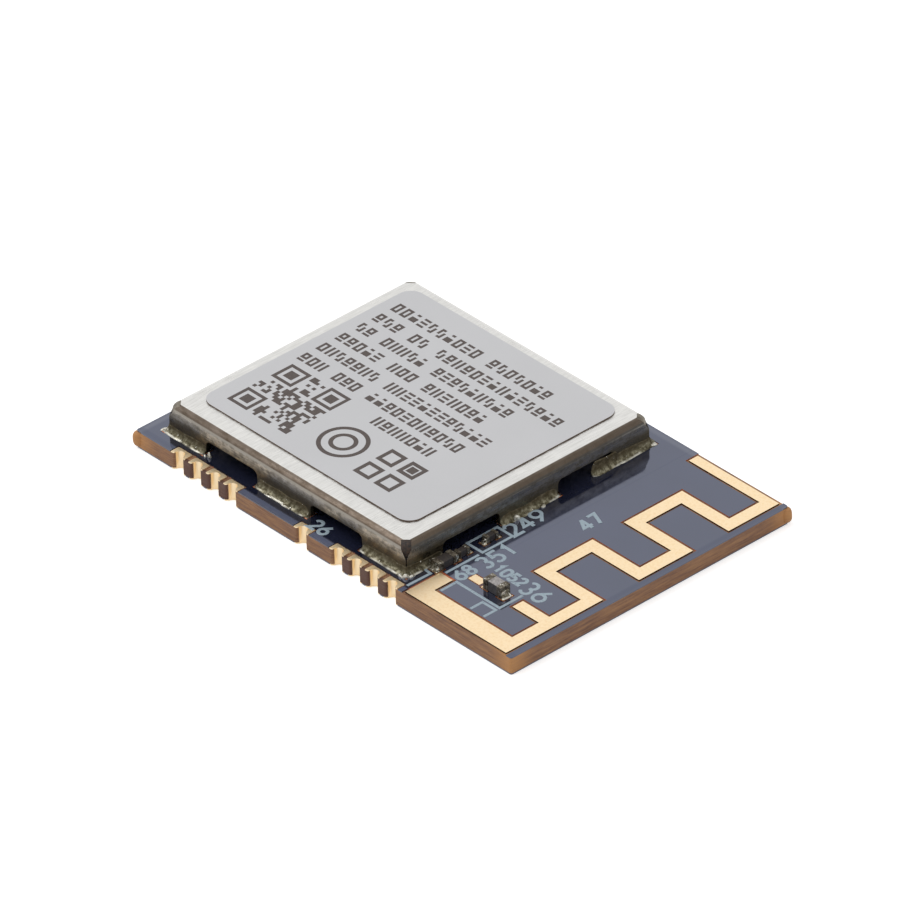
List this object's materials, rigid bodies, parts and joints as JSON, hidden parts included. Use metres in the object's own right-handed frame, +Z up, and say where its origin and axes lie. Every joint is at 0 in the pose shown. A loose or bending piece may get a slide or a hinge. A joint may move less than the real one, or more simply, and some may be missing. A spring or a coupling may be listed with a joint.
{
  "type": "wifi module",
  "caption": "Surface-mount radio module: castellated circuit board with a printed meander antenna and a soldered metal shield over its chips.",
  "frame": {"origin": "centre of the board's underside", "axes": "+X along the length of the board towards the antenna end, +Y across the board, +Z up through the shield can"},
  "size_m": [0.0218, 0.0148, 0.0022],
  "materials": {
    "laminate": "brown glass-fibre laminate with a sawn edge",
    "mask": "glossy dark blue solder mask",
    "bare_copper": "etched copper foil, under the mask",
    "gold_plate": "immersion gold over nickel, fine matte grain",
    "tinned_sheet": "rolled, tin-plated sheet with a faint grain",
    "solder": "reflowed solder, slightly grainy",
    "label_film": "matte grey polyester film with dark printed shapes",
    "lead_metal": "tinned lead frame",
    "moulding": "black moulding compound",
    "tan_ceramic": "fired ceramic",
    "grey_ceramic": "grey fired ceramic",
    "blue_ceramic": "blue-grey fired ceramic",
    "dark_ferrite": "dark ferrite",
    "resistor_black": "black glass coat on alumina",
    "lid_metal": "seam-welded metal lid",
    "tin_ends": "tinned chip ends"
  },
  "bodies": {
    "root": {"board_laminate": "laminate", "solder_mask_top": "mask", "solder_mask_bottom": "mask", "ground_copper": "bare_copper", "signal_track": "bare_copper", "antenna": "gold_plate", "ground_pad": "gold_plate", "component_lands": "gold_plate", "spare_land": "gold_plate", "shield_lands": "gold_plate", "shield_can": "tinned_sheet", "shield_solder": "solder", "label": "label_film", "radio_chip_leads": "lead_metal", "radio_chip_body": "moulding", "memory_chip_leads": "lead_metal", "memory_chip_body": "moulding", "crystal_case": "tan_ceramic", "crystal_lid": "lid_metal", "power_inductor": "dark_ferrite", "power_inductor_ends": "tin_ends", "antenna_filter": "blue_ceramic", "antenna_filter_ends": "tin_ends", "inner_capacitors": "tan_ceramic", "inner_capacitor_ends": "tin_ends", "inner_resistors": "resistor_black", "inner_resistor_ends": "tin_ends", "tuning_capacitors": "tan_ceramic", "tuning_choke": "grey_ceramic", "antenna_link": "grey_ceramic", "outer_part_ends": "tin_ends", "terminal_01": "gold_plate", "terminal_02": "gold_plate", "terminal_03": "gold_plate", "terminal_04": "gold_plate", "terminal_05": "gold_plate", "terminal_06": "gold_plate", "terminal_07": "gold_plate", "terminal_08": "gold_plate", "terminal_09": "gold_plate", "terminal_10": "gold_plate", "terminal_11": "gold_plate", "terminal_12": "gold_plate", "terminal_13": "gold_plate", "terminal_14": "gold_plate", "terminal_15": "gold_plate", "terminal_16": "gold_plate", "terminal_17": "gold_plate", "terminal_18": "gold_plate", "terminal_19": "gold_plate", "terminal_20": "gold_plate", "terminal_21": "gold_plate", "terminal_22": "gold_plate", "terminal_23": "gold_plate", "terminal_24": "gold_plate", "terminal_25": "gold_plate", "terminal_26": "gold_plate", "terminal_27": "gold_plate", "terminal_28": "gold_plate"}
  },
  "joints": []
}
